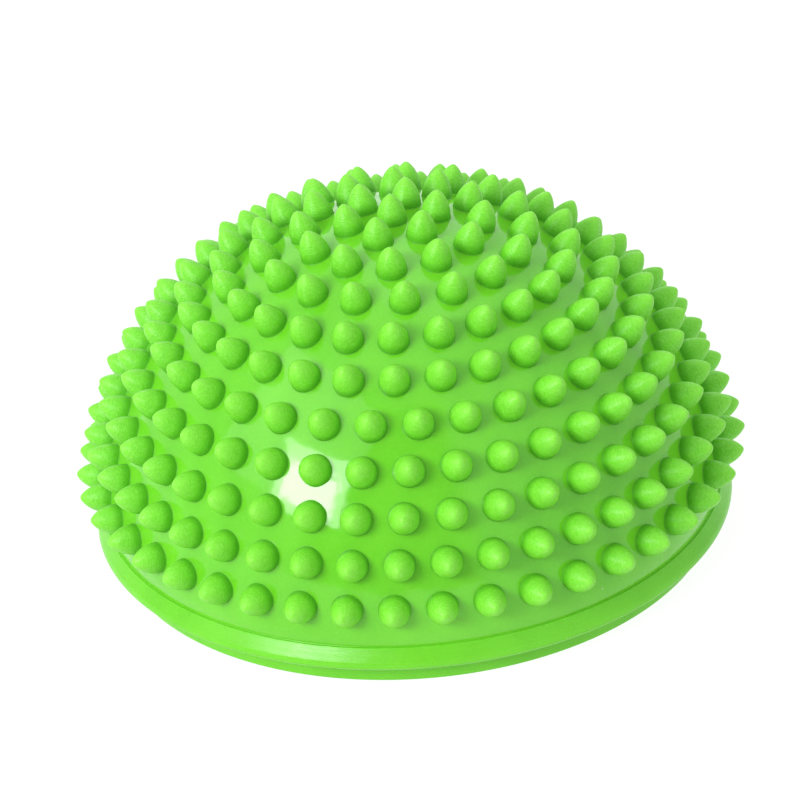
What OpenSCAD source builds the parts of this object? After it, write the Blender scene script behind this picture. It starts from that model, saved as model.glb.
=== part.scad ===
// Spiked half-ball balance pad: an air-filled soft dome on a flat base.
// Origin at the centre of the base's resting plane, +Z up through the crown.

/* [Dome] */
// Radius of the dome's smooth skin, without the nubs
dome_radius = 78.4; // [76:0.1:78.8]
// Height of the dome's centre above the resting plane
dome_centre_z = 3.2; // [2:0.1:4.5]
// Thickness of the dome's skin
dome_wall = 3; // [2:0.5:4]

/* [Nubs] */
// Height of a nub above the dome's skin
nub_height = 7; // [6:0.1:10]
// Radius of a nub at its sunk root
nub_root_radius = 4.05; // [3.3:0.05:4.5]
// Radius of a nub's ball-shaped tip
nub_tip_radius = 2.3; // [2:0.1:3.2]
// Angle at the dome's centre between one ring of nubs and the next
ring_step = 7.77; // [7.5:0.01:8]
// Nubs in each ring, from the one next to the crown down to the skirt
ring_counts = [6, 12, 17, 24, 29, 33, 37, 40, 43, 44]; // [6:1:44]
// Turn of each ring about the vertical axis, in degrees
ring_turns = [9.4, 27, 18.4, 12.2, 6.4, 10.3, 6.5, 6.6, 6.7, 3.1]; // [0:0.1:60]

/* [Skirt and base] */
// Radius of the skirt's widest edge
skirt_radius = 80; // [79.5:0.5:82]
// Height of the skirt's widest edge above the resting plane
skirt_edge_z = 6.2; // [6:0.1:7.5]
// Radius of the base disc's rim
rim_radius = 75.8; // [74:0.1:76.5]
// Height of the seam between the base disc and the dome
seam_z = 5; // [4.5:0.1:5.5]
// Thickness of the base disc's floor
floor_thickness = 3; // [2.5:0.1:3.5]
// Depth of the shallow pattern under the base
tread_depth = 0.8; // [0.5:0.1:1]
// Number of grip rings under the base
tread_rings = 6; // [3:1:8]

/* [Valve] */
// Radius of the hole for the valve in the base disc
valve_radius = 9; // [8:0.5:11]
// Length of the valve's tube above the base disc's floor
valve_rise = 12; // [9:1:16]
// Radius of the plug's stem
stem_radius = 3; // [2.5:0.1:3.5]
// Radius of the plug's flat head
head_radius = 6.5; // [5.5:0.1:6.8]
// Thickness of the plug's flat head
head_thickness = 1.6; // [1.2:0.1:2]

/* [Hidden] */

$fn = 128;
nub_fn = 24;
// A part that goes right through another one runs past it by this much
past = 1;

// Skirt: a rounded band between the crease under the lowest nubs and its edge
skirt_band_width = 3;
skirt_band_rise = 4.3;
skirt_band_step = 30;
skirt_lower_round = 0.6;
skirt_return = dome_radius + 0.5;
dome_inner_radius = dome_radius - dome_wall;
// A lip thickens the foot of the wall on the inside, where the base disc is welded on
weld_lip = 1;
skirt_root = dome_inner_radius - weld_lip;

// Nub: a tapering peg sunk into the skin, with a ball end
nub_sunk = dome_wall / 2;
nub_tip_centre = nub_height - nub_tip_radius;

// Base disc
floor_top = tread_depth + floor_thickness;
rim_chamfer = 0.3;
rim_inner_radius = rim_radius - 5;
tread_inner = 20;
tread_outer = rim_inner_radius - 4;
tread_gap = (tread_outer - tread_inner) / (tread_rings - 0.5);
tread_width = tread_gap / 2;
boss_radius = valve_radius + 6;
boss_rise = 3;

// Valve: a soft bush set in the boss, and the plug pulled down out of it
bush_flange_radius = valve_radius + 3.5;
bush_flange = 1.5;
bush_foot_z = 0.6;
boss_top = floor_top + boss_rise;
bush_top = floor_top + valve_rise;
bush_neck_radius = valve_radius - 1.5;
running_gap = 0.05;
bore_radius = stem_radius + running_gap;
well_radius = head_radius + 0.6;
head_z = bush_foot_z + 0.2;
well_top = head_z + head_thickness;
stem_top = bush_top + 2;
nose_length = 3;
grip_length = head_radius * 1.3;
grip_width = 1.6;
grip_depth = 0.6;

// One nub, standing up from the plane z = 0 with its root sunk below it
module nub() {
    rotate_extrude($fn = nub_fn) {
        polygon([
            [0, -nub_sunk],
            [nub_root_radius, -nub_sunk],
            [nub_tip_radius, nub_tip_centre],
            [0, nub_tip_centre]]);
        intersection() {
            translate([0, nub_tip_centre])
                circle(nub_tip_radius);
            translate([0, nub_tip_centre])
                square(nub_tip_radius);
        }
    }
}

// Every nub stands square to the dome, pointing away from its centre
module nubs() {
    translate([0, 0, dome_centre_z]) {
        translate([0, 0, dome_radius])
            nub();
        for (ring = [1 : len(ring_counts)])
            for (i = [0 : ring_counts[ring - 1] - 1])
                rotate([0, ring * ring_step, ring_turns[ring - 1] + 360 * i / ring_counts[ring - 1]])
                    translate([0, 0, dome_radius])
                        nub();
    }
}

// A point on the skirt's rounded band: its widest edge at 0 degrees, its crease at 90
function skirt_band(turn) = [
    skirt_radius - skirt_band_width * (1 - cos(turn)),
    skirt_edge_z + skirt_band_rise * sin(turn)];

module skin() {
    rotate_extrude() {
        difference() {
            translate([0, dome_centre_z])
                circle(dome_radius);
            translate([0, dome_centre_z])
                circle(dome_inner_radius);
            translate([-2 * dome_radius, -2 * dome_radius])
                square([2 * dome_radius, 4 * dome_radius]);
            translate([0, -2 * dome_radius])
                square([2 * dome_radius, 2 * dome_radius + seam_z]);
        }
        polygon(concat(
            [
                [skirt_root, seam_z],
                [skirt_return, seam_z],
                [skirt_radius - skirt_lower_round, skirt_edge_z - skirt_lower_round]],
            [for (turn = [0 : skirt_band_step : 90]) skirt_band(turn)],
            [[skirt_root, skirt_edge_z + skirt_band_rise]]));
    }
}

module spiked_dome() {
    color("limegreen")
        union() {
            skin();
            nubs();
        }
}

module base_disc() {
    color("limegreen")
        difference() {
            union() {
                rotate_extrude()
                    polygon([
                        [0, 0],
                        [rim_radius - rim_chamfer, 0],
                        [rim_radius, rim_chamfer],
                        [rim_radius, seam_z],
                        [rim_inner_radius, seam_z],
                        [rim_inner_radius, floor_top],
                        [0, floor_top]]);
                cylinder(h = boss_top, r = boss_radius);
            }
            translate([0, 0, -past])
                cylinder(h = boss_top + 2 * past, r = valve_radius);
            for (i = [0 : tread_rings - 1])
                translate([0, 0, -past])
                    tread_groove(tread_inner + i * tread_gap);
        }
}

// One shallow ring cut up into the underside
module tread_groove(radius) {
    difference() {
        cylinder(h = past + tread_depth, r = radius + tread_width);
        translate([0, 0, -past])
            cylinder(h = 3 * past + tread_depth, r = radius);
    }
}

module valve_seat() {
    color("palegreen")
        difference() {
            union() {
                translate([0, 0, bush_foot_z])
                    cylinder(h = boss_top - bush_foot_z, r = valve_radius);
                translate([0, 0, boss_top])
                    cylinder(h = bush_flange, r = bush_flange_radius);
                translate([0, 0, boss_top])
                    cylinder(h = bush_top - boss_top, r1 = valve_radius, r2 = bush_neck_radius);
            }
            cylinder(h = bush_top + past, r = bore_radius);
            cylinder(h = well_top, r = well_radius);
        }
}

module valve_plug() {
    color("whitesmoke") {
        difference() {
            translate([0, 0, head_z])
                cylinder(h = head_thickness, r = head_radius);
            for (side = [-1, 1])
                translate([-grip_length / 2, side * 2 * grip_width - grip_width / 2, head_z - past])
                    cube([grip_length, grip_width, past + grip_depth]);
        }
        translate([0, 0, well_top])
            cylinder(h = stem_top - well_top - nose_length, r = stem_radius);
        translate([0, 0, stem_top - nose_length])
            cylinder(h = nose_length, r1 = stem_radius, r2 = stem_radius * 0.6);
    }
}

spiked_dome();
base_disc();
valve_seat();
valve_plug();
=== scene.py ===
"""Looks of the spiked balance pad: a lime-green soft vinyl half ball on a flat base.

The dome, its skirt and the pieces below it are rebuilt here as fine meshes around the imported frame.
Lengths are in millimetres until MM turns them into metres.
"""

import math

import bmesh
import bpy
import numpy as np
from mathutils import Matrix, Vector
from mathutils.geometry import delaunay_2d_cdt


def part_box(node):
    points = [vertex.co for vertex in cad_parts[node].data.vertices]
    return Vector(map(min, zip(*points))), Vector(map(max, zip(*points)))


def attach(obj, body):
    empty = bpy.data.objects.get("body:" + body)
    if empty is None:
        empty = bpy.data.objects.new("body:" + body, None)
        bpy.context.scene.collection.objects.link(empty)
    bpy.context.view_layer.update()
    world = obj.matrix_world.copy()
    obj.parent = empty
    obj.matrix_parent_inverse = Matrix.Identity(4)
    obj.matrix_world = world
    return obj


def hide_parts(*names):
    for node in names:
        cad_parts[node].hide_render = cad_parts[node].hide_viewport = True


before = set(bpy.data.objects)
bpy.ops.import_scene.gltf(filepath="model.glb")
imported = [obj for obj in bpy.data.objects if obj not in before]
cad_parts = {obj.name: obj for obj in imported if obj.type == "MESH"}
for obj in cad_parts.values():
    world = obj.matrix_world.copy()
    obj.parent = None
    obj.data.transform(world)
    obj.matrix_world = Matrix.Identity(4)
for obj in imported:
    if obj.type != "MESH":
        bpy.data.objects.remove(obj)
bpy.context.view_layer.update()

MM = 0.001

# The dome's sizes. Its crown comes from the frame, and the rest is set here as it is in the solid model.
dome_low, dome_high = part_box("spiked_dome")
CENTRE_Z = 3.2
NUB_HEIGHT = 7.0
SKIN_RADIUS = dome_high.z / MM - NUB_HEIGHT - CENTRE_Z
WALL = 3.0
SEAM_Z = dome_low.z / MM
SKIRT_EDGE_RADIUS = 80.0
SKIRT_EDGE_Z = 6.2
CREASE_Z = 10.5

# Below its last ring of nubs the skin turns in a little towards the skirt's crease
TUCK = 0.8
TUCK_START = math.radians(80.6)
TUCK_END = math.acos((CREASE_Z - CENTRE_Z) / SKIN_RADIUS)

# Rings of nubs, from the one next to the crown down to the skirt
RING_STEP = math.radians(7.77)
RING_COUNTS = [6, 12, 17, 24, 29, 33, 37, 40, 43, 44]
RING_TURNS = [9.4, 27, 18.4, 12.2, 6.4, 10.3, 6.5, 6.6, 6.7, 3.1]

# One nub: a pointed bullet with a ball tip, turned in fine steps, and a small fillet where it meets the skin.
# A larger taper gives straighter sides.
NUB_RADIUS = 3.72
NUB_TIP_RADIUS = 1.2
NUB_TAPER = 1.42
FILLET = 0.13
FILLET_STEPS = 3
TURNED_STEPS = 13
STEP_SAMPLES = 4
STEP_DEPTH = 0.036
NUB_SIDES = 32

# The steps fade out over this share of the outline at either end
STEP_FADE = 1 / 12

# The bullet's sides are worked out up to this angle short of its point
NEAR_TIP = 0.02

# How finely the skin and the turned pieces are meshed
SKIN_SPACING = 2.1
SKIN_MARGIN = 0.75
ROUND_SIDES = 288
VALVE_SIDES = 96
CORNER_STEPS = 5
CORNER_REACH = 0.49
BULLET_SAMPLES = 600
TIP_SAMPLES = 60
OUTLINE_SAMPLES = 1200
INSIDE_SAMPLES = 40
ON_AXIS = 1e-6
SAME_POINT = 1e-6
TINY = 1e-9

# Edges that turn by more than this stay sharp
SHARP = math.radians(40)

# Material slots of the dome
SKIN_SLOT = 0
NUB_SLOT = 1
SKIRT_SLOT = 2


# ---------------------------------------------------------------- mesh building

class Moulding:
    """Vertices, faces, a normal for each corner and a material slot for each face, gathered for one mesh."""

    def __init__(self):
        self.points = []
        self.count = 0
        self.faces = []
        self.normals = []
        self.slots = []
        self.rises = []

    def add_points(self, points, rise=0.0):
        """Adds an array of points and returns the number of its first one. Rise goes into an attribute."""
        first = self.count
        self.points.append(np.asarray(points, float).reshape(-1, 3))
        self.count += len(self.points[-1])
        self.rises.append(np.full(len(self.points[-1]), rise))
        return first

    def add_faces(self, faces, normals, slot):
        """Adds faces of one size (an array of vertex numbers) with the normals of their corners."""
        self.faces.append(np.asarray(faces, int))
        self.normals.append(np.asarray(normals, float).reshape(-1, 3))
        self.slots.append(np.full(len(faces), slot))

    def build(self, name, materials):
        """Makes the object. Its corners keep the exact normals that were given."""
        mesh = bpy.data.meshes.new(name)
        corners = np.concatenate([f.reshape(-1) for f in self.faces])
        sizes = np.concatenate([np.full(len(f), f.shape[1]) for f in self.faces])
        mesh.vertices.add(self.count)
        mesh.vertices.foreach_set("co", (np.concatenate(self.points) * MM).astype(np.float32).ravel())
        mesh.loops.add(len(corners))
        mesh.loops.foreach_set("vertex_index", corners.astype(np.int32))
        mesh.polygons.add(len(sizes))
        starts = np.concatenate([[0], np.cumsum(sizes)[:-1]])
        mesh.polygons.foreach_set("loop_start", starts.astype(np.int32))
        for material in materials:
            mesh.materials.append(material)
        mesh.polygons.foreach_set("material_index", np.concatenate(self.slots).astype(np.int32))
        mesh.update(calc_edges=True)
        mesh.validate()
        mesh.shade_smooth()
        mesh.normals_split_custom_set(np.concatenate(self.normals).astype(np.float32).tolist())
        rise = mesh.attributes.new("rise", "FLOAT", "POINT")
        rise.data.foreach_set("value", np.concatenate(self.rises).astype(np.float32))
        mesh.update()
        piece = bpy.data.objects.new(name, mesh)
        bpy.context.scene.collection.objects.link(piece)
        return piece


def unit(vectors):
    """The same directions with a length of 1."""
    vectors = np.asarray(vectors, float)
    return vectors / np.linalg.norm(vectors, axis=-1, keepdims=True)


def round_corners(corners):
    """Turns corners (radius, z, rounding) into profile points, each rounded corner as a short arc.

    An arc takes up less than half of the shorter side next to it.
    """
    path = []
    for i, (x, z, rounding) in enumerate(corners):
        if rounding == 0 or i in (0, len(corners) - 1):
            path.append((x, z))
            continue
        here = np.array([x, z])
        to_last = np.array(corners[i - 1][:2]) - here
        to_next = np.array(corners[i + 1][:2]) - here
        shorter = min(np.linalg.norm(to_last), np.linalg.norm(to_next))
        reach = min(rounding, shorter * CORNER_REACH)
        start = here + unit(to_last) * reach
        end = here + unit(to_next) * reach
        for t in np.linspace(0, 1, CORNER_STEPS + 1):
            path.append(tuple((1 - t) ** 2 * start + 2 * t * (1 - t) * here + t * t * end))
    return path


def profile_normals(path):
    """For each segment of a profile, the outward normals at its two ends.

    The path runs with the material on its left, so outward is to the right of the way it goes.
    """
    path = np.array(path, float)
    along = path[1:] - path[:-1]
    length = np.linalg.norm(along, axis=1)
    flat = unit(np.stack([along[:, 1], -along[:, 0]], 1))
    ends = np.stack([flat, flat], 1)
    for i in range(1, len(along)):
        turn = math.acos(max(-1, min(1, float(flat[i - 1] @ flat[i]))))
        if turn < SHARP:
            both = unit(flat[i - 1] * length[i - 1] + flat[i] * length[i])
            ends[i - 1, 1] = both
            ends[i, 0] = both
    return ends


def ring_points(radius, z, sides):
    """Points evenly spaced round the Z axis."""
    turn = np.arange(sides) * 2 * math.pi / sides
    return np.stack([radius * np.cos(turn), radius * np.sin(turn), np.full(sides, z)], 1)


def revolve(moulding, path, slot, sides=ROUND_SIDES, first_ring=None, last_ring=None):
    """Sweeps a profile round the Z axis. A ring that is already there can be used at either end.

    A profile point on the axis becomes a single vertex. Returns the vertex numbers of each ring.
    """
    ends = profile_normals(path)
    turn = np.arange(sides) * 2 * math.pi / sides
    outward = np.stack([np.cos(turn), np.sin(turn)], 1)
    rings = []
    for i, (radius, z) in enumerate(path):
        if i == 0 and first_ring is not None:
            rings.append(np.asarray(first_ring))
        elif i == len(path) - 1 and last_ring is not None:
            rings.append(np.asarray(last_ring))
        elif radius < ON_AXIS:
            rings.append(np.full(sides, moulding.add_points([(0, 0, z)])))
        else:
            rings.append(moulding.add_points(ring_points(radius, z, sides)) + np.arange(sides))

    def spread(normal):
        """One normal of the profile, turned to each side."""
        up = np.full((sides, 1), normal[1])
        return np.concatenate([outward * normal[0], up], 1)

    step = np.roll(np.arange(sides), -1)
    for i in range(len(path) - 1):
        a, b = rings[i], rings[i + 1]
        na, nb = spread(ends[i, 0]), spread(ends[i, 1])
        if path[i][0] < ON_AXIS:
            faces = np.stack([a, b, b[step]], 1)
            normals = np.stack([na, nb, nb[step]], 1)
        elif path[i + 1][0] < ON_AXIS:
            faces = np.stack([a, b, a[step]], 1)
            normals = np.stack([na, nb, na[step]], 1)
        else:
            faces = np.stack([a, b, b[step], a[step]], 1)
            normals = np.stack([na, nb, nb[step], na[step]], 1)
        moulding.add_faces(faces[:, ::-1], normals[:, ::-1], slot)
    return rings


# ---------------------------------------------------------------- the dome

def outline_normals(outline):
    """Normals along an outline of (distance from the axis, height)."""
    slope = np.gradient(outline, axis=0)
    return unit(np.stack([slope[:, 1], -slope[:, 0]], 1))


def plain_bullet():
    """The nub's outline before its steps are cut: tapering sides that run into a ball tip."""
    turn = np.linspace(0, math.pi / 2 - NEAR_TIP, BULLET_SAMPLES)
    sides = np.array([(NUB_RADIUS * math.cos(t) ** NUB_TAPER, NUB_HEIGHT * math.sin(t)) for t in turn])
    normal = outline_normals(sides)
    # The ball takes over where one that fits inside the sides has shrunk to the tip's radius
    fitting_ball = sides[:, 0] / np.maximum(normal[:, 0], TINY)
    last = int(np.argmax(fitting_ball < NUB_TIP_RADIUS))
    ball_z = sides[last, 1] - NUB_TIP_RADIUS * normal[last, 1]
    first_angle = math.atan2(normal[last, 1], normal[last, 0])
    angles = np.linspace(first_angle, math.pi / 2, TIP_SAMPLES)[1:]
    ball = [(NUB_TIP_RADIUS * math.cos(a), ball_z + NUB_TIP_RADIUS * math.sin(a)) for a in angles]
    outline = np.concatenate([sides[:last + 1], ball])
    outline[:, 1] *= NUB_HEIGHT / outline[-1, 1]
    return outline


def nub_outline():
    """The nub's outline above its fillet, with its turned steps, and the normals along it."""
    plain = plain_bullet()
    plain = plain[np.searchsorted(plain[:, 1], FILLET):]
    plain[0, 1] = FILLET
    run = np.concatenate([[0], np.cumsum(np.linalg.norm(np.diff(plain, axis=0), axis=1))])
    even = np.linspace(0, run[-1], OUTLINE_SAMPLES)
    plain = np.stack([np.interp(even, run, plain[:, 0]), np.interp(even, run, plain[:, 1])], 1)
    share = even / run[-1]
    fade = np.clip(np.minimum(share, 1 - share) / STEP_FADE, 0, 1)
    cut_depth = STEP_DEPTH * fade * 0.5 * (1 - np.cos(2 * math.pi * TURNED_STEPS * share))
    turned = plain - outline_normals(plain) * cut_depth[:, None]
    turned[-1, 0] = 0
    normal = outline_normals(turned)
    normal[-1] = (0, 1)
    picks = np.linspace(0, OUTLINE_SAMPLES - 1, TURNED_STEPS * STEP_SAMPLES + 1)
    picks = np.round(picks).astype(int)
    return turned[picks], normal[picks]


def nub_frames():
    """For each nub, its direction from the dome's centre and two directions square to it."""
    frames = [(np.array([0.0, 0, 1]), np.array([1.0, 0, 0]), np.array([0, 1.0, 0]))]
    for ring, (count, first_turn) in enumerate(zip(RING_COUNTS, RING_TURNS), 1):
        tilt = ring * RING_STEP
        for i in range(count):
            turn = math.radians(first_turn) + 2 * math.pi * i / count
            flat = np.array([math.cos(turn), math.sin(turn), 0])
            axis = flat * math.sin(tilt) + np.array([0, 0, math.cos(tilt)])
            down = flat * math.cos(tilt) - np.array([0, 0, math.sin(tilt)])
            frames.append((axis, down, np.cross(axis, down)))
    return frames


def tilt_and_turn(directions):
    """The angle of each direction from the crown, and its angle round the Z axis."""
    return np.arccos(np.clip(directions[:, 2], -1, 1)), np.arctan2(directions[:, 1], directions[:, 0])


def unroll(directions):
    """Directions from the dome's centre, laid flat: the distance from the crown is kept."""
    tilt, turn = tilt_and_turn(directions)
    return np.stack([np.cos(turn), np.sin(turn)], 1) * (tilt * SKIN_RADIUS)[:, None]


def roll_up(flat):
    """The opposite of unroll."""
    reach = np.linalg.norm(flat, axis=1)
    tilt = reach / SKIN_RADIUS
    side = flat / np.maximum(reach, TINY)[:, None]
    return np.concatenate([side * np.sin(tilt)[:, None], np.cos(tilt)[:, None]], 1)


def on_skin(directions):
    """The skin's points in the given directions from the dome's centre, and its normals there."""
    tilt, turn = [angle[:, None] for angle in tilt_and_turn(directions)]
    share = np.clip((tilt - TUCK_START) / (TUCK_END - TUCK_START), 0, 1)
    radius = SKIN_RADIUS - TUCK * share ** 2
    slope = 2 * TUCK * share / (TUCK_END - TUCK_START) / radius
    down = np.concatenate([np.cos(tilt) * np.cos(turn), np.cos(tilt) * np.sin(turn), -np.sin(tilt)], 1)
    points = np.array([0, 0, CENTRE_Z]) + directions * radius
    return points, unit(directions + slope * down)


def skirt_profile():
    """The skirt from its crease down to the inner edge of its underside.

    Each corner is its distance from the axis, its height and how far it is rounded.
    """
    crease_radius = (SKIN_RADIUS - TUCK) * math.sin(TUCK_END)
    crease_z = CENTRE_Z + (SKIN_RADIUS - TUCK) * math.cos(TUCK_END)
    inner = math.sqrt((SKIN_RADIUS - WALL) ** 2 - (SEAM_Z - CENTRE_Z) ** 2)
    corners = [
        (crease_radius, crease_z, 0),
        (crease_radius + 0.07, crease_z - 0.1, 0.04),
        (crease_radius + 0.45, crease_z - 0.08, 0.32),
        (SKIRT_EDGE_RADIUS - 0.2, SKIRT_EDGE_Z + 1.1, 1.6),
        (SKIRT_EDGE_RADIUS + 0.05, SKIRT_EDGE_Z - 0.25, 0.55),
        (SKIRT_EDGE_RADIUS - 0.8, SKIRT_EDGE_Z - 0.9, 0.6),
        (SKIN_RADIUS + 0.5, SEAM_Z, 0.4),
        (inner, SEAM_Z, 0),
    ]
    return round_corners(corners)


# Each nub's fillet starts from a circle of this radius on the skin, this far out along the nub's axis
FOOT_RADIUS = NUB_RADIUS + FILLET
FOOT_LIFT = math.sqrt(SKIN_RADIUS ** 2 - FOOT_RADIUS ** 2)


def round_the_nub(down, side):
    """Directions round a nub's axis, one for each of its sides."""
    turn = np.arange(NUB_SIDES) * 2 * math.pi / NUB_SIDES
    return np.cos(turn)[:, None] * down + np.sin(turn)[:, None] * side


def skin_lattice(axes):
    """Directions of a triangular lattice that covers the skin between the nubs and inside the crease."""
    edge = TUCK_END * SKIN_RADIUS
    count = int(edge / SKIN_SPACING) + 1
    lattice = []
    for row in range(-2 * count, 2 * count + 1):
        for column in range(-count, count + 1):
            x = (column + 0.5 * (row % 2)) * SKIN_SPACING
            y = row * SKIN_SPACING * math.sqrt(3) / 2
            if math.hypot(x, y) < edge - SKIN_MARGIN:
                lattice.append((x, y))
    lattice = roll_up(np.array(lattice))
    nearest = np.max(lattice @ axes.T, axis=1)
    clear = math.cos((FOOT_RADIUS + SKIN_MARGIN) / SKIN_RADIUS)
    return lattice[nearest < clear]


def add_skin(dome, frames):
    """Adds the skin with a round opening for each nub.

    Returns the numbers of the first vertex round the openings and of the vertices along the crease.
    """
    foot = np.concatenate([
        (axis * FOOT_LIFT + round_the_nub(down, side) * FOOT_RADIUS) / SKIN_RADIUS
        for axis, down, side in frames])
    crease = ring_points(math.sin(TUCK_END), math.cos(TUCK_END), ROUND_SIDES)
    lattice = skin_lattice(np.array([f[0] for f in frames]))

    # Every direction is laid flat, triangulated, and put back on the ball
    directions = np.concatenate([foot, crease, lattice])
    flat = unroll(directions)
    loops = [i * NUB_SIDES + np.arange(NUB_SIDES) for i in range(len(frames))]
    loops.append(len(foot) + np.arange(ROUND_SIDES))
    edges = [(int(a), int(b)) for loop in loops for a, b in zip(loop, np.roll(loop, -1))]
    found = delaunay_2d_cdt([Vector(p) for p in flat], edges, [], 0, SAME_POINT, True)
    back = np.array([ids[0] for ids in found[3]])
    triangles = back[np.array(found[2])]

    # A triangle whose corners are all on one nub's circle would close its opening
    group = np.where(triangles < len(foot), triangles // NUB_SIDES, -1 - triangles)
    inside = (group[:, 0] == group[:, 1]) & (group[:, 1] == group[:, 2])
    triangles = triangles[~inside]
    points, normals = on_skin(directions)
    first = dome.add_points(points)
    dome.add_faces(triangles + first, normals[triangles], SKIN_SLOT)
    return first, first + len(foot) + np.arange(ROUND_SIDES)


def add_nubs(dome, frames, first_foot):
    """Adds the nubs, each a fillet and the turned bullet, joined to its opening in the skin."""
    foot_drop = FOOT_LIFT - SKIN_RADIUS
    fillet = []
    fillet_up = []
    for k in range(FILLET_STEPS):
        a = math.pi / 2 * k / FILLET_STEPS
        height = foot_drop + (FILLET - foot_drop) * (1 - math.cos(a))
        fillet.append((FOOT_RADIUS - FILLET * math.sin(a), height))
        fillet_up.append((math.sin(a), math.cos(a)))
    outline, outline_up = nub_outline()
    profile = np.concatenate([np.array(fillet), outline])
    profile_up = np.concatenate([np.array(fillet_up), outline_up])
    profile_up[0] = unit(np.array([FOOT_RADIUS, FOOT_LIFT]))

    centre = np.array([0, 0, CENTRE_Z])
    step = np.roll(np.arange(NUB_SIDES), -1)
    for i, (axis, down, side) in enumerate(frames):
        around = round_the_nub(down, side)
        rings = [first_foot + i * NUB_SIDES + np.arange(NUB_SIDES)]
        for radius, height in profile[1:-1]:
            ring = centre + axis * (SKIN_RADIUS + height) + around * radius
            rings.append(dome.add_points(ring, height / NUB_HEIGHT) + np.arange(NUB_SIDES))
        tip = dome.add_points(centre + axis * (SKIN_RADIUS + profile[-1][1]), 1.0)
        ups = [around * out + axis * up for out, up in profile_up]
        quads = []
        quad_normals = []
        for a, b, na, nb in zip(rings, rings[1:], ups, ups[1:]):
            quads.append(np.stack([a, a[step], b[step], b], 1))
            quad_normals.append(np.stack([na, na[step], nb[step], nb], 1))
        dome.add_faces(np.concatenate(quads), np.concatenate(quad_normals), NUB_SLOT)
        a = rings[-1]
        na = ups[-2]
        top = np.tile(axis, (NUB_SIDES, 1))
        dome.add_faces(np.stack([a, a[step], np.full(NUB_SIDES, tip)], 1),
                       np.stack([na, na[step], top], 1), NUB_SLOT)


def build_dome(materials):
    """The skin with its nubs, the skirt, and the inside of the wall, which closes the shell."""
    dome = Moulding()
    frames = nub_frames()
    first_foot, crease_ring = add_skin(dome, frames)
    add_nubs(dome, frames, first_foot)
    skirt_rings = revolve(dome, skirt_profile()[::-1], SKIRT_SLOT, last_ring=crease_ring)
    inner_radius = SKIN_RADIUS - WALL
    foot_angle = math.asin((SEAM_Z - CENTRE_Z) / inner_radius)
    inside = [(inner_radius * math.cos(a), CENTRE_Z + inner_radius * math.sin(a))
              for a in np.linspace(math.pi / 2, foot_angle, INSIDE_SAMPLES)]
    inside[0] = (0.0, CENTRE_Z + inner_radius)
    revolve(dome, inside, SKIN_SLOT, last_ring=skirt_rings[0])
    return dome.build("dome_skin", materials)


# ---------------------------------------------------------------- materials

# Where a Mix node keeps its colour sockets
COLOUR_A = 6
COLOUR_B = 7
COLOUR_RESULT = 2


class Nodes:
    """A short way to write the nodes of a material or of the world.

    Coordinates are in metres, so a noise's scale is about how many of its cells lie along a metre.
    """

    def __init__(self, owner):
        owner.use_nodes = True
        self.owner = owner
        self.tree = owner.node_tree

    def add(self, kind, inputs=None, **settings):
        """A new node with its inputs joined or set, and its other settings."""
        node = self.tree.nodes.new(kind)
        for key, value in settings.items():
            setattr(node, key, value)
        for key, value in (inputs or {}).items():
            self.join(value, node.inputs[key])
        return node

    def join(self, value, socket):
        """Links an output to an input socket, or sets the socket to a plain value."""
        if isinstance(value, bpy.types.NodeSocket):
            self.tree.links.new(value, socket)
        else:
            socket.default_value = value

    def set(self, **inputs):
        """Sets inputs of the material's shader. An underscore stands for a space in an input's name."""
        shader = self.tree.nodes["Principled BSDF"]
        for key, value in inputs.items():
            self.join(value, shader.inputs[key.replace("_", " ")])

    def math(self, operation, *values):
        node = self.add("ShaderNodeMath", operation=operation)
        for i, value in enumerate(values):
            self.join(value, node.inputs[i])
        return node.outputs[0]

    def place(self):
        return self.add("ShaderNodeTexCoord").outputs["Object"]

    def noise(self, scale, detail=2.0, roughness=0.5, vector=None):
        node = self.add("ShaderNodeTexNoise", {"Scale": scale, "Detail": detail, "Roughness": roughness})
        self.join(vector or self.place(), node.inputs["Vector"])
        return node.outputs["Fac"]

    def remap(self, value, low, high, to_low, to_high, smooth=False):
        """Maps the range from low to high onto the other one, and holds its ends outside it."""
        node = self.add("ShaderNodeMapRange", clamp=True)
        node.interpolation_type = "SMOOTHSTEP" if smooth else "LINEAR"
        for socket, number in zip(node.inputs, (value, low, high, to_low, to_high)):
            self.join(number, socket)
        return node.outputs[0]

    def mix(self, factor, first, second):
        """A colour between the first one (at 0) and the second one (at 1)."""
        node = self.add("ShaderNodeMix", data_type="RGBA")
        self.join(factor, node.inputs["Factor"])
        self.join(first, node.inputs[COLOUR_A])
        self.join(second, node.inputs[COLOUR_B])
        return node.outputs[COLOUR_RESULT]

    def bump(self, height, distance, normal=None):
        """A normal that follows a height of up to the given distance, over another bump if there is one."""
        node = self.add("ShaderNodeBump", {"Height": height, "Distance": distance, "Strength": 1.0})
        if normal is not None:
            self.join(normal, node.inputs["Normal"])
        return node.outputs["Normal"]

    def turned_lines(self, per_metre):
        """A value that changes only with the distance from the Z axis and the height: fine turned lines."""
        split = self.add("ShaderNodeSeparateXYZ", {"Vector": self.place()})
        x, y, z = split.outputs
        radius = self.math("SQRT", self.math("ADD", self.math("MULTIPLY", x, x), self.math("MULTIPLY", y, y)))
        joined = self.add("ShaderNodeCombineXYZ", {"X": radius, "Y": z})
        return self.noise(per_metre, 3.0, 0.6, joined.outputs[0])


# Most of a noise's values lie between these
MIDDLE = (0.3, 0.7)

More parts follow.
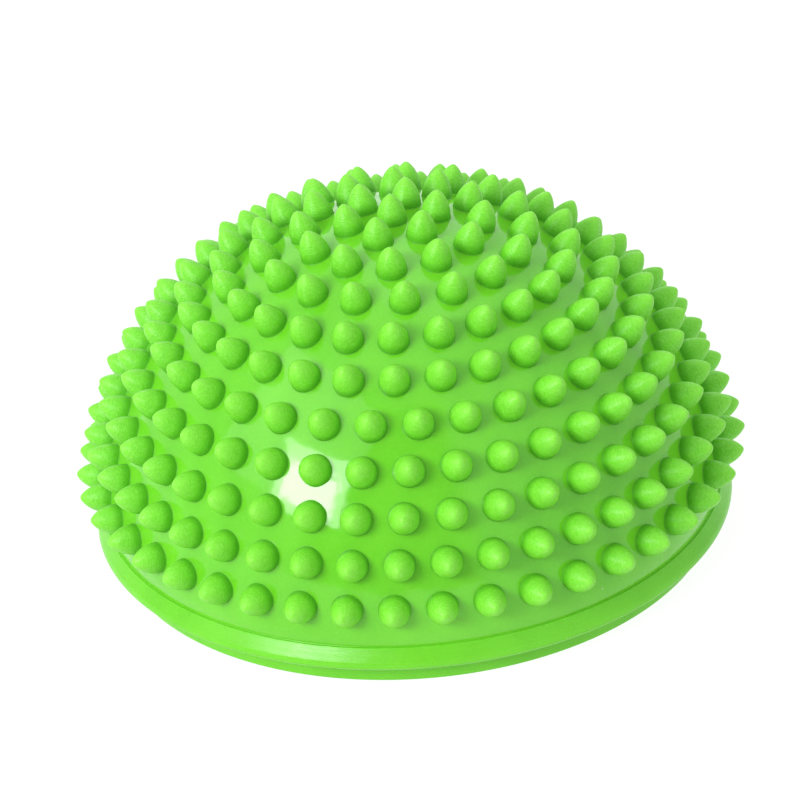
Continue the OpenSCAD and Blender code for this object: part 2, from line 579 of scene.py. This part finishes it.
# Colours. The vinyl is paler where it is turned or dusty. The nubs carry a painted highlight, paler towards
# their tips, and a painted shade, darker in the contact lines at their feet.
VINYL = (0.150, 0.575, 0.021, 1)
VINYL_DEEP = (0.124, 0.520, 0.014, 1)
VINYL_NUB = (0.178, 0.660, 0.028, 1)
# Pale vinyl for fine mottling and turned lines, and the painted highlight towards the nubs' tips
VINYL_PALE_AND_PAINTED_HIGHLIGHT = (0.230, 0.710, 0.050, 1)
VINYL_BLOOM = (0.340, 0.800, 0.130, 1)
# Painted shade for the feet of the nubs
VINYL_PAINTED_SHADE = (0.060, 0.340, 0.006, 1)
DUST = (0.80, 0.90, 0.72, 1)
BUSH_DARK = (0.10, 0.42, 0.04, 1)
BUSH_LIGHT = (0.14, 0.50, 0.06, 1)
PLUG_DARK = (0.70, 0.74, 0.66, 1)
PLUG_LIGHT = (0.80, 0.82, 0.76, 1)
HANDLING_DIRT = (0.45, 0.50, 0.38, 1)

# How far red, green and blue light spread inside the vinyl and the plug, compared with each other
VINYL_GLOW = (0.6, 1.0, 0.25)
PLUG_GLOW = (1, 1, 0.9)

# The share of the specks' places that carry one
SPECK_SHARE = 0.28


def glow(nodes, weight, depth, spread=VINYL_GLOW):
    """The soft glow of light that spreads a little way inside the material."""
    nodes.set(Subsurface_Weight=weight, Subsurface_Radius=spread, Subsurface_Scale=depth * MM)


def dust(nodes, colour, spacing, size):
    """Mixes a few tiny pale specks into a colour. Spacing and size are in millimetres."""
    cells = nodes.add("ShaderNodeTexVoronoi", {"Vector": nodes.place(), "Scale": 1 / (spacing * MM)})
    draw = nodes.add("ShaderNodeSeparateColor", {"Color": cells.outputs["Color"]}).outputs[0]
    chosen = nodes.math("GREATER_THAN", draw, 1 - SPECK_SHARE)
    near = nodes.remap(cells.outputs["Distance"], size / spacing * 0.6, size / spacing, 1, 0, True)
    return nodes.mix(nodes.math("MULTIPLY", chosen, near), colour, DUST)


def skin_material():
    """The smooth skin: a mirror-like gloss on slight waves, with uneven polish and a few specks of dust."""
    nodes = Nodes(bpy.data.materials.new("skin_gloss"))
    broad = nodes.noise(45, 3)
    colour = nodes.mix(nodes.remap(broad, *MIDDLE, 0, 1), VINYL_DEEP, VINYL)
    fine = nodes.noise(1400, 4, 0.65)
    colour = nodes.mix(nodes.remap(fine, 0.45, 0.75, 0, 0.2), colour, VINYL_PALE_AND_PAINTED_HIGHLIGHT)
    colour = dust(nodes, colour, 11, 0.42)
    rough = nodes.math("ADD", nodes.remap(nodes.noise(120, 4), 0.35, 0.7, 0.055, 0.10),
                       nodes.remap(fine, 0.5, 0.8, 0, 0.05))
    waves = nodes.bump(nodes.noise(38, 1.5), 0.8 * MM)
    ripples = nodes.bump(nodes.noise(120, 2), 0.11 * MM, normal=waves)
    grain = nodes.bump(nodes.noise(900, 3), 0.008 * MM, normal=ripples)
    nodes.set(Base_Color=colour, Roughness=rough, Normal=grain, IOR=1.5)
    glow(nodes, 0.2, 1.6)
    return nodes.owner


def nub_material():
    """The nubs: satin vinyl with fine turned lines, a painted shade that darkens the foot and a painted
    highlight that makes them a little paler towards the tip.
    """
    nodes = Nodes(bpy.data.materials.new("nub_satin"))
    # Rise runs from 0 at a nub's foot to 1 at its tip
    rise = nodes.add("ShaderNodeAttribute", attribute_name="rise").outputs["Fac"]
    colour = nodes.mix(nodes.remap(nodes.noise(160, 3), *MIDDLE, 0, 1), VINYL, VINYL_NUB)
    # Painted highlight: the nubs are paler towards their tips
    colour = nodes.mix(nodes.remap(rise, 0.55, 1.0, 0, 0.6, True), colour, VINYL_PALE_AND_PAINTED_HIGHLIGHT)
    fine = nodes.noise(1800, 4, 0.65)
    colour = nodes.mix(nodes.remap(fine, 0.45, 0.7, 0, 0.5), colour, VINYL_BLOOM)
    turned = nodes.noise(34, 2, 0.6, nodes.add("ShaderNodeCombineXYZ", {"X": rise}).outputs[0])
    colour = nodes.mix(nodes.remap(turned, 0.4, 0.65, 0.25, 0), colour, VINYL_DEEP)
    colour = nodes.mix(nodes.remap(turned, 0.5, 0.7, 0, 0.3), colour, VINYL_PALE_AND_PAINTED_HIGHLIGHT)
    # Painted shade: the nubs are darker towards their feet, in the contact line with the skin
    colour = nodes.mix(nodes.remap(rise, 0.0, 0.45, 0.72, 0, True), colour, VINYL_PAINTED_SHADE)
    rough = nodes.remap(nodes.noise(500, 4), *MIDDLE, 0.34, 0.46)
    lines = nodes.bump(turned, 0.04 * MM)
    grain = nodes.bump(nodes.noise(1500, 4), 0.045 * MM, normal=lines)
    nodes.set(Base_Color=colour, Roughness=rough, Normal=grain, IOR=1.5, Specular_IOR_Level=0.36)
    glow(nodes, 0.25, 1.2)
    return nodes.owner


def skirt_material(name="skirt_turned"):
    """The skirt and the base: semi-gloss vinyl with fine turned lines that run round it."""
    nodes = Nodes(bpy.data.materials.new(name))
    broad = nodes.noise(60, 3)
    colour = nodes.mix(nodes.remap(broad, *MIDDLE, 0, 1), VINYL_DEEP, VINYL)
    lines = nodes.turned_lines(2600)
    colour = nodes.mix(nodes.remap(lines, 0.45, 0.8, 0, 0.25), colour, VINYL_PALE_AND_PAINTED_HIGHLIGHT)
    colour = dust(nodes, colour, 15, 0.4)
    rough = nodes.remap(nodes.noise(220, 4), *MIDDLE, 0.24, 0.34)
    turned = nodes.bump(lines, 0.06 * MM)
    grain = nodes.bump(nodes.noise(700, 3), 0.02 * MM, normal=turned)
    nodes.set(Base_Color=colour, Roughness=rough, Normal=grain, IOR=1.5, Specular_IOR_Level=0.36)
    glow(nodes, 0.2, 1.6)
    return nodes.owner


def bush_material():
    """The valve's soft bush: a darker and duller vinyl."""
    nodes = Nodes(bpy.data.materials.new("valve_vinyl"))
    colour = nodes.mix(nodes.remap(nodes.noise(300, 3), *MIDDLE, 0, 1), BUSH_DARK, BUSH_LIGHT)
    lines = nodes.turned_lines(1800)
    grain = nodes.bump(nodes.noise(1600, 4), 0.03 * MM, normal=nodes.bump(lines, 0.03 * MM))
    nodes.set(Base_Color=colour, Roughness=nodes.remap(lines, *MIDDLE, 0.45, 0.6), Normal=grain)
    glow(nodes, 0.25, 1.2)
    return nodes.owner


def plug_material():
    """The plug: off-white moulded plastic, slightly milky, with faint flow marks and handling dirt."""
    nodes = Nodes(bpy.data.materials.new("plug_plastic"))
    flow = nodes.noise(180, 5, 0.7)
    colour = nodes.mix(nodes.remap(flow, 0.35, 0.7, 0, 1), PLUG_DARK, PLUG_LIGHT)
    dirt = nodes.remap(nodes.noise(420, 5, 0.7), 0.58, 0.8, 0, 0.35)
    colour = nodes.mix(dirt, colour, HANDLING_DIRT)
    grain = nodes.bump(nodes.noise(1900, 4), 0.03 * MM)
    nodes.set(Base_Color=colour, Roughness=nodes.remap(flow, *MIDDLE, 0.3, 0.45), Normal=grain)
    glow(nodes, 0.3, 1.5, PLUG_GLOW)
    return nodes.owner


# ---------------------------------------------------------------- base disc, valve and plug

_, base_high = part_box("base_disc")
seat_low, seat_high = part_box("valve_seat")
plug_low, plug_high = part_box("valve_plug")
RIM_RADIUS = base_high.x / MM
RIM_WIDTH = 5.0
BOSS_TOP = base_high.z / MM
BOSS_RADIUS = 15.0
HOLE_RADIUS = 9.0
TREAD_DEPTH = 0.8
TREAD_INNER = 20.0
TREAD_MARGIN = 4.0
TREAD_DRAFT = 0.15
TREAD_RINGS = 6
FLOOR_TOP = 3.8
SEAT_FOOT = seat_low.z / MM
SEAT_TOP = seat_high.z / MM
SEAT_FLANGE_RADIUS = seat_high.x / MM
SEAT_FLANGE = 1.5
SEAT_NECK_RADIUS = 7.5
BORE_RADIUS = 3.05
WELL_RADIUS = 7.1
HEAD_RADIUS = plug_high.x / MM
HEAD_LOW = plug_low.z / MM
HEAD_THICKNESS = 1.6
HEAD_TOP = HEAD_LOW + HEAD_THICKNESS
STEM_RADIUS = 3.0
STEM_TOP = plug_high.z / MM
NOSE_LENGTH = 3.0
NOSE_RADIUS = STEM_RADIUS * 0.6

# The finger slots in the plug's head. A block taller than the slot is deep cuts each one, and its edges
# are rounded by a share of its width.
SLOT_LENGTH = HEAD_RADIUS * 1.3
SLOT_WIDTH = 1.6
SLOT_DEPTH = 0.6
SLOT_OFFSET = 2 * SLOT_WIDTH
SLOT_BLOCK = 2.4
SLOT_ROUNDING = 0.3


def build_closed_ring(name, corners, sides, material):
    """A turned piece with a hole through it: its profile ends where it starts."""
    ring = Moulding()
    path = round_corners(corners)
    start = ring.add_points(ring_points(*path[0], sides)) + np.arange(sides)
    revolve(ring, path, 0, sides, first_ring=start, last_ring=start)
    return ring.build(name, [material])


def build_base(material):
    """The floor disc: a rim with a softly rounded lip, grip rings underneath and a boss for the valve."""
    rim_inner = RIM_RADIUS - RIM_WIDTH
    tread_outer = rim_inner - TREAD_MARGIN
    gap = (tread_outer - TREAD_INNER) / (TREAD_RINGS - 0.5)
    corners = [(HOLE_RADIUS, 0, 0), (HOLE_RADIUS + 0.4, 0, 0)]
    for ring in range(TREAD_RINGS):
        inner = TREAD_INNER + ring * gap
        outer = inner + gap / 2
        corners += [
            (inner, 0, 0.25),
            (inner + TREAD_DRAFT, TREAD_DEPTH, 0.2),
            (outer - TREAD_DRAFT, TREAD_DEPTH, 0.2),
            (outer, 0, 0.25),
        ]
    corners += [
        (RIM_RADIUS, 0, 0.5),
        (RIM_RADIUS, SEAM_Z, 0.2),
        (rim_inner, SEAM_Z, 0.3),
        (rim_inner, FLOOR_TOP, 0.4),
        (BOSS_RADIUS, FLOOR_TOP, 0.8),
        (BOSS_RADIUS, BOSS_TOP, 0.5),
        (HOLE_RADIUS, BOSS_TOP, 0.2),
        (HOLE_RADIUS, 0, 0),
    ]
    return build_closed_ring("base_floor", corners, ROUND_SIDES, material)


def build_seat(material):
    """The bush: a well for the plug's head, the bore for its stem, a flange and a tapering neck."""
    corners = [
        (BORE_RADIUS, HEAD_TOP, 0),
        (WELL_RADIUS, HEAD_TOP, 0.25),
        (WELL_RADIUS, SEAT_FOOT, 0.3),
        (HOLE_RADIUS, SEAT_FOOT, 0.3),
        (HOLE_RADIUS, BOSS_TOP, 0),
        (SEAT_FLANGE_RADIUS, BOSS_TOP, 0.3),
        (SEAT_FLANGE_RADIUS, BOSS_TOP + SEAT_FLANGE, 0.6),
        (HOLE_RADIUS - 0.2, BOSS_TOP + SEAT_FLANGE, 0.6),
        (SEAT_NECK_RADIUS, SEAT_TOP, 0.6),
        (BORE_RADIUS, SEAT_TOP, 0.3),
        (BORE_RADIUS, HEAD_TOP, 0),
    ]
    return build_closed_ring("valve_bush", corners, VALVE_SIDES, material)


def slot_block(side):
    """A block with rounded edges, to be cut away from one side of the plug's head."""
    mesh = bpy.data.meshes.new("slot")
    shape = bmesh.new()
    bmesh.ops.create_cube(shape, size=1)
    for vertex in shape.verts:
        x, y, z = vertex.co
        vertex.co = Vector((x * SLOT_LENGTH, y * SLOT_WIDTH, z * SLOT_BLOCK)) * MM
    bmesh.ops.bevel(shape, geom=shape.edges[:], offset=SLOT_WIDTH * SLOT_ROUNDING * MM, segments=4,
                    profile=0.5, affect="EDGES")
    middle = Vector((0, side * SLOT_OFFSET, HEAD_LOW + SLOT_DEPTH - SLOT_BLOCK / 2))
    bmesh.ops.translate(shape, verts=shape.verts[:], vec=middle * MM)
    shape.to_mesh(mesh)
    shape.free()
    block = bpy.data.objects.new("slot", mesh)
    bpy.context.scene.collection.objects.link(block)
    return block


def build_plug(material):
    """The plug: a flat head with two finger slots that leave a grip bar, and a tapered stem."""
    corners = [
        (0, HEAD_LOW, 0),
        (HEAD_RADIUS, HEAD_LOW, 0.5),
        (HEAD_RADIUS, HEAD_TOP, 0.4),
        (STEM_RADIUS, HEAD_TOP, 0.3),
        (STEM_RADIUS, STEM_TOP - NOSE_LENGTH, 0.8),
        (NOSE_RADIUS, STEM_TOP, 0.6),
        (0, STEM_TOP, 0),
    ]
    plug = Moulding()
    revolve(plug, round_corners(corners), 0, VALVE_SIDES)
    piece = plug.build("valve_stopper", [material])
    for side in (-1, 1):
        slot = slot_block(side)
        cut = piece.modifiers.new("cut", "BOOLEAN")
        cut.operation = "DIFFERENCE"
        cut.solver = "EXACT"
        cut.object = slot
        bpy.context.view_layer.update()
        graph = bpy.context.evaluated_depsgraph_get()
        solid = bpy.data.meshes.new_from_object(piece.evaluated_get(graph))
        piece.modifiers.clear()
        piece.data = solid
        bpy.data.objects.remove(slot)
    mesh = piece.data
    mesh.normals_split_custom_set([(0, 0, 0)] * len(mesh.loops))
    mesh.shade_smooth()
    mesh.set_sharp_from_angle(angle=SHARP)
    return piece


# ---------------------------------------------------------------- the pieces

vinyl_skin = skin_material()
vinyl_nub = nub_material()
vinyl_skirt = skirt_material()
vinyl_base = skirt_material("base_turned")

dome = build_dome([vinyl_skin, vinyl_nub, vinyl_skirt])
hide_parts("spiked_dome")
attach(dome, "pad")

base = build_base(vinyl_base)
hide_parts("base_disc")
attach(base, "pad")

seat = build_seat(bush_material())
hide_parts("valve_seat")
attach(seat, "pad")

plug = build_plug(plug_material())
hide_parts("valve_plug")
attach(plug, "plug")

# ---------------------------------------------------------------- camera, lights, room and floor

# The camera looks down at a point inside the pad, and is rolled a little

CAMERA_AIM = Vector((-1.63, 0, 32.25)) * MM
CAMERA_ELEVATION = math.radians(28.97)
CAMERA_ROLL = math.radians(-4.72)
CAMERA_DISTANCE = 740.0 * MM
CAMERA_LENS = 133.95
CAMERA_SENSOR = 36
CAMERA_NEAR = 0.05
CAMERA_FAR = 50

back = Vector((0, -math.cos(CAMERA_ELEVATION), math.sin(CAMERA_ELEVATION)))
level = Vector((1, 0, 0))
upright = Vector((0, math.sin(CAMERA_ELEVATION), math.cos(CAMERA_ELEVATION)))
right = level * math.cos(CAMERA_ROLL) + upright * math.sin(CAMERA_ROLL)
up = -level * math.sin(CAMERA_ROLL) + upright * math.cos(CAMERA_ROLL)
camera_data = bpy.data.cameras.new("camera")
camera_data.lens = CAMERA_LENS
camera_data.sensor_width = CAMERA_SENSOR
camera_data.clip_start = CAMERA_NEAR
camera_data.clip_end = CAMERA_FAR
camera = bpy.data.objects.new("camera", camera_data)
bpy.context.scene.collection.objects.link(camera)
place = Matrix((right, up, back)).transposed().to_4x4()
place.translation = CAMERA_AIM + back * CAMERA_DISTANCE
camera.matrix_world = place
bpy.context.scene.camera = camera


def towards(azimuth, elevation):
    """A direction: azimuth 0 is towards the camera and 90 to its right, both angles in degrees."""
    a, e = math.radians(azimuth), math.radians(elevation)
    return Vector((math.sin(a) * math.cos(e), -math.cos(a) * math.cos(e), math.sin(e)))


def softbox(name, azimuth, elevation, width, height, radiance, distance):
    """A rectangular light, as wide and as high as the given angles, that faces the pad."""
    data = bpy.data.lights.new(name, "AREA")
    data.shape = "RECTANGLE"
    data.size = 2 * distance * math.tan(math.radians(width / 2))
    data.size_y = 2 * distance * math.tan(math.radians(height / 2))
    data.energy = radiance * math.pi * data.size * data.size_y
    lamp = bpy.data.objects.new(name, data)
    bpy.context.scene.collection.objects.link(lamp)
    direction = towards(azimuth, elevation)
    lamp.location = CAMERA_AIM + direction * distance
    lamp.rotation_mode = "QUATERNION"
    lamp.rotation_quaternion = direction.to_track_quat("Z", "Y")


# The lights, all to the left of the camera: a bright middle in a window of light, and a wide bank round it.
# Each: azimuth, elevation, width and height in degrees, then its radiance and its distance in metres.
SOFTBOXES = {
    "key_core": (-43, 29.5, 20, 14, 10.5, 1.38),
    "key_window": (-42, 31, 26, 23, 6, 1.4),
    "key_bank": (-60, 45, 50, 44, 1.1, 1.45),
}
for name, numbers in SOFTBOXES.items():
    softbox(name, *numbers)

# The room round the pad: a dim background with pale panels at the left, behind, at the front right
# and overhead. Each panel: azimuth, elevation and their half widths in degrees, then how bright it is.
ROOM_PANELS = [
    (-118, 20, 76, 52, 0.42),
    (158, 25, 38, 50, 0.68),
    (68, 22, 48, 45, 0.62),
    (0, 90, 180, 22, 0.72),
]
ROOM_BASE = 0.35

# How far a panel's edge fades on either side of it, in degrees
ROOM_SOFT = 9

world = bpy.data.worlds.new("studio")
bpy.context.scene.world = world
sky = Nodes(world)
direction = sky.add("ShaderNodeTexCoord").outputs["Generated"]
x, y, z = sky.add("ShaderNodeSeparateXYZ", {"Vector": direction}).outputs
level_length = sky.math("SQRT", sky.math("ADD", sky.math("MULTIPLY", x, x), sky.math("MULTIPLY", y, y)))
height = sky.math("MULTIPLY", sky.math("ARCSINE", z), 180 / math.pi)
total = ROOM_BASE
for azimuth, elevation, half_width, half_height, brightness in ROOM_PANELS:
    a = math.radians(azimuth)
    along = sky.math("SUBTRACT", sky.math("MULTIPLY", x, math.sin(a)), sky.math("MULTIPLY", y, math.cos(a)))
    cosine = sky.math("DIVIDE", along, sky.math("MAXIMUM", level_length, 1e-4))
    off = sky.math("MULTIPLY", sky.math("ARCCOSINE", sky.math("MINIMUM", cosine, 1.0)), 180 / math.pi)
    rise = sky.math("ABSOLUTE", sky.math("SUBTRACT", height, elevation))
    across = sky.remap(off, half_width - ROOM_SOFT, half_width + ROOM_SOFT, 1, 0, True)
    upward = sky.remap(rise, half_height - ROOM_SOFT, half_height + ROOM_SOFT, 1, 0, True)
    share = sky.math("MULTIPLY", sky.math("MULTIPLY", across, upward), brightness)
    total = sky.math("ADD", total, share)
background = world.node_tree.nodes["Background"]
sky.join(total, background.inputs["Strength"])
sky.join((1, 1, 1, 1), background.inputs["Color"])

# The floor: plain and nearly white, and bright enough of itself that shadows on it stay faint.
# It lies a hair under the pad, so the two don't share a plane.
FLOOR_RADIUS = 4
FLOOR_SIDES = 96
FLOOR_DROP = 0.05 * MM
FLOOR_COLOUR = (0.14, 0.14, 0.14, 1)
FLOOR_GLOW = 0.92
floor_mesh = bpy.data.meshes.new("floor")
floor_shape = bmesh.new()
bmesh.ops.create_circle(floor_shape, cap_ends=True, segments=FLOOR_SIDES, radius=FLOOR_RADIUS)
floor_shape.to_mesh(floor_mesh)
floor_shape.free()
floor = bpy.data.objects.new("floor", floor_mesh)
floor.location.z = -FLOOR_DROP
bpy.context.scene.collection.objects.link(floor)
paper = Nodes(bpy.data.materials.new("floor_paper"))
paper.set(Base_Color=FLOOR_COLOUR, Roughness=0.9, Specular_IOR_Level=0.0)
paper.set(Emission_Color=(1, 1, 1, 1), Emission_Strength=FLOOR_GLOW)
floor_mesh.materials.append(paper.owner)

bpy.context.scene.view_settings.view_transform = "Standard"
